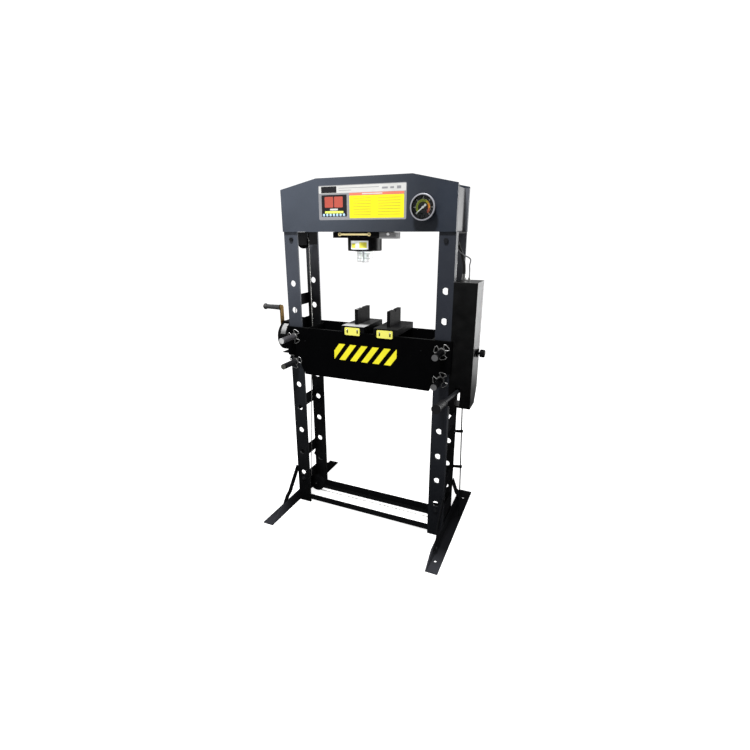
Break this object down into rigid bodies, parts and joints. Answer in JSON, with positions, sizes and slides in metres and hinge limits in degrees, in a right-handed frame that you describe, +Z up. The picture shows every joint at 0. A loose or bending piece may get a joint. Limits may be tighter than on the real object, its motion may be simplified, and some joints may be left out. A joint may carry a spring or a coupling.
{
  "type": "hydraulic shop press",
  "caption": "Floor-standing H-frame hydraulic shop press with a sliding ram, pinned bed, rope winch and side hand pump.",
  "frame": {"origin": "on the floor, at the centre of the four floor anchor holes", "axes": "+Z up, -Y towards the operator (gauge side), +X towards the pump box"},
  "size_m": [1.258, 0.8738, 1.82],
  "materials": {
    "header_paint": "satin slate powder coat",
    "frame_paint": "satin slate powder coat, darker towards the feet",
    "black_paint": "satin black powder coat",
    "light_grey_paint": "satin light grey",
    "yellow_paint": "gloss yellow with black screws",
    "dark_steel": "blackened steel with bare ends",
    "bare_steel": "machined steel",
    "chrome": "polished hard chrome",
    "zinc_yellow": "yellow zinc plating",
    "wire_rope": "galvanised wire rope",
    "rubber": "matt black",
    "hose_rubber": "matt black hose",
    "gauge_black": "black case with a bright rim",
    "dial_print": "black dial with a coloured scale",
    "needle_white": "white",
    "glass": "clear",
    "line_grey": "thin steel line"
  },
  "bodies": {
    "frame": {"bed_ends": "black_paint", "bed_front_plate": "black_paint", "bed_rear_plate": "black_paint", "block_tag_left": "yellow_paint", "block_tag_right": "yellow_paint", "braces_left": "black_paint", "braces_right": "black_paint", "crossbar_front": "black_paint", "crossbar_rear": "black_paint", "foot_left": "black_paint", "foot_right": "black_paint", "frame_bolts": "dark_steel", "gauge_case": "gauge_black", "gauge_dial": "dial_print", "gauge_glass": "glass", "gauge_line": "line_grey", "header_ends": "light_grey_paint", "header_front_plate": "header_paint", "header_rear_plate": "header_paint", "hose_fittings": "bare_steel", "levelling_rope": "wire_rope", "lift_rope": "wire_rope", "pivot_pins": "bare_steel", "press_block_left": "dark_steel", "press_block_right": "dark_steel", "pressure_hose": "hose_rubber", "pulley_brackets": "black_paint", "pulleys": "bare_steel", "pump_body": "black_paint", "pump_cover": "black_paint", "side_rod": "dark_steel", "side_ties": "black_paint", "upright_front_left": "frame_paint", "upright_front_right": "frame_paint", "upright_rear_left": "frame_paint", "upright_rear_right": "frame_paint", "winch_cover": "black_paint", "winch_frame": "black_paint"},
    "bed_pin_upper_left": {"bed_pin_upper_left": "dark_steel"},
    "bed_pin_upper_right": {"bed_pin_upper_right": "dark_steel"},
    "bed_pin_lower_left": {"bed_pin_lower_left": "dark_steel"},
    "bed_pin_lower_right": {"bed_pin_lower_right": "dark_steel"},
    "carriage": {"carriage_block": "black_paint", "carriage_bar": "zinc_yellow", "carriage_clamp": "light_grey_paint", "cylinder_body": "black_paint", "cylinder_gland": "bare_steel", "return_spring": "bare_steel"},
    "ram": {"ram": "chrome"},
    "needle": {"gauge_needle": "needle_white"},
    "winch_drum": {"winch_drum": "black_paint", "drum_gear": "dark_steel", "rope_winding": "wire_rope"},
    "crank": {"crank_pinion": "bare_steel", "crank_arm": "zinc_yellow"},
    "crank_grip": {"crank_grip": "rubber"},
    "release_knob": {"release_knob": "black_paint"},
    "pump_lever": {"pump_lever": "dark_steel", "lever_grip": "rubber"},
    "pump_plunger": {"pump_plunger": "bare_steel"}
  },
  "joints": [
    {"name": "bed_pin_upper_left_slide", "type": "slide", "parent": "frame", "child": "bed_pin_upper_left", "axis": [0, -1, 0], "range_m": [0, 0.25]},
    {"name": "bed_pin_upper_right_slide", "type": "slide", "parent": "frame", "child": "bed_pin_upper_right", "axis": [0, -1, 0], "range_m": [0, 0.25]},
    {"name": "bed_pin_lower_left_slide", "type": "slide", "parent": "frame", "child": "bed_pin_lower_left", "axis": [0, -1, 0], "range_m": [0, 0.25]},
    {"name": "bed_pin_lower_right_slide", "type": "slide", "parent": "frame", "child": "bed_pin_lower_right", "axis": [0, -1, 0], "range_m": [0, 0.25]},
    {"name": "carriage_slide", "type": "slide", "parent": "frame", "child": "carriage", "axis": [1, 0, 0], "range_m": [-0.16, 0.16]},
    {"name": "ram_slide", "type": "slide", "parent": "carriage", "child": "ram", "axis": [0, 0, -1], "range_m": [0, 0.16], "stiffness_N_per_m": 4000, "springref_m": -0.06, "deforming": ["return_spring"]},
    {"name": "needle_turn", "type": "hinge", "parent": "frame", "child": "needle", "pos_m": [0.305, -0.15, 1.679], "axis": [0, 1, 0], "range_deg": [0, 270], "stiffness_Nm_per_rad": 0.002, "springref_deg": -17.19},
    {"name": "drum_turn", "type": "hinge", "parent": "frame", "child": "winch_drum", "pos_m": [-0.5, -0.025, 1.018], "axis": [1, 0, 0], "continuous": true},
    {"name": "crank_turn", "type": "hinge", "parent": "frame", "child": "crank", "pos_m": [-0.5, -0.03699, 0.96689], "axis": [1, 0, 0], "continuous": true},
    {"name": "grip_turn", "type": "hinge", "parent": "crank", "child": "crank_grip", "pos_m": [-0.6, -0.03699, 1.175], "axis": [1, 0, 0], "continuous": true},
    {"name": "release_knob_turn", "type": "hinge", "parent": "frame", "child": "release_knob", "pos_m": [0.56, -0.036, 1.028], "axis": [1, 0, 0], "range_deg": [0, 360]},
    {"name": "lever_swing", "type": "hinge", "parent": "frame", "child": "pump_lever", "pos_m": [0.493, -0.036, 0.836], "axis": [1, 0, 0], "range_deg": [0, 40]},
    {"name": "plunger_slide", "type": "slide", "parent": "frame", "child": "pump_plunger", "axis": [0, 0, -1], "range_m": [0, 0.0161]}
  ],
  "couplings": [
    {"joint": "crank_turn", "follows": "drum_turn", "ratio": -4.25},
    {"joint": "plunger_slide", "follows": "lever_swing", "m_per_rad": 0.023}
  ]
}
